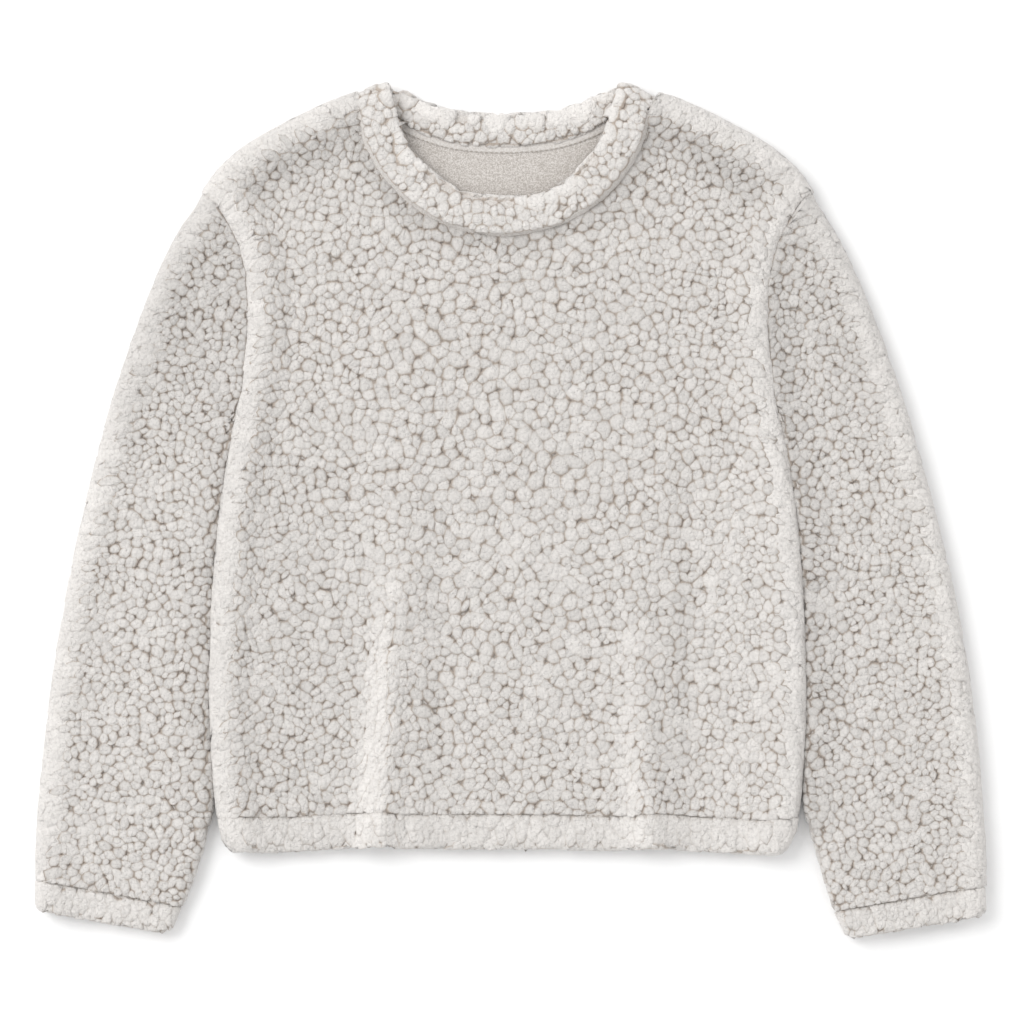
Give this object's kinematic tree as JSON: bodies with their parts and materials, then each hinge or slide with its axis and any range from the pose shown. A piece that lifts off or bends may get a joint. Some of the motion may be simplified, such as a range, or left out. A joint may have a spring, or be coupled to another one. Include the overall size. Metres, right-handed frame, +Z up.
{
  "type": "sherpa fleece pullover",
  "caption": "Crew-neck pullover of high-pile sherpa fleece with long sleeves, laid flat with its front up.",
  "frame": {"origin": "on the surface the garment lies on, under the middle of its outline", "axes": "+X to the viewer's right across the sleeves, +Y from hem to neck, +Z up off the surface"},
  "size_m": [0.8416, 0.756, 0.0302],
  "materials": {
    "fleece": "matt curly pile of pebble-like tufts, warm pale grey",
    "fleece_inside": "matt brushed knit, the wrong side of the fleece"
  },
  "bodies": {
    "root": {"front": "fleece", "back": "fleece", "sleeve_left": "fleece", "sleeve_right": "fleece", "neckband": "fleece"}
  },
  "joints": []
}
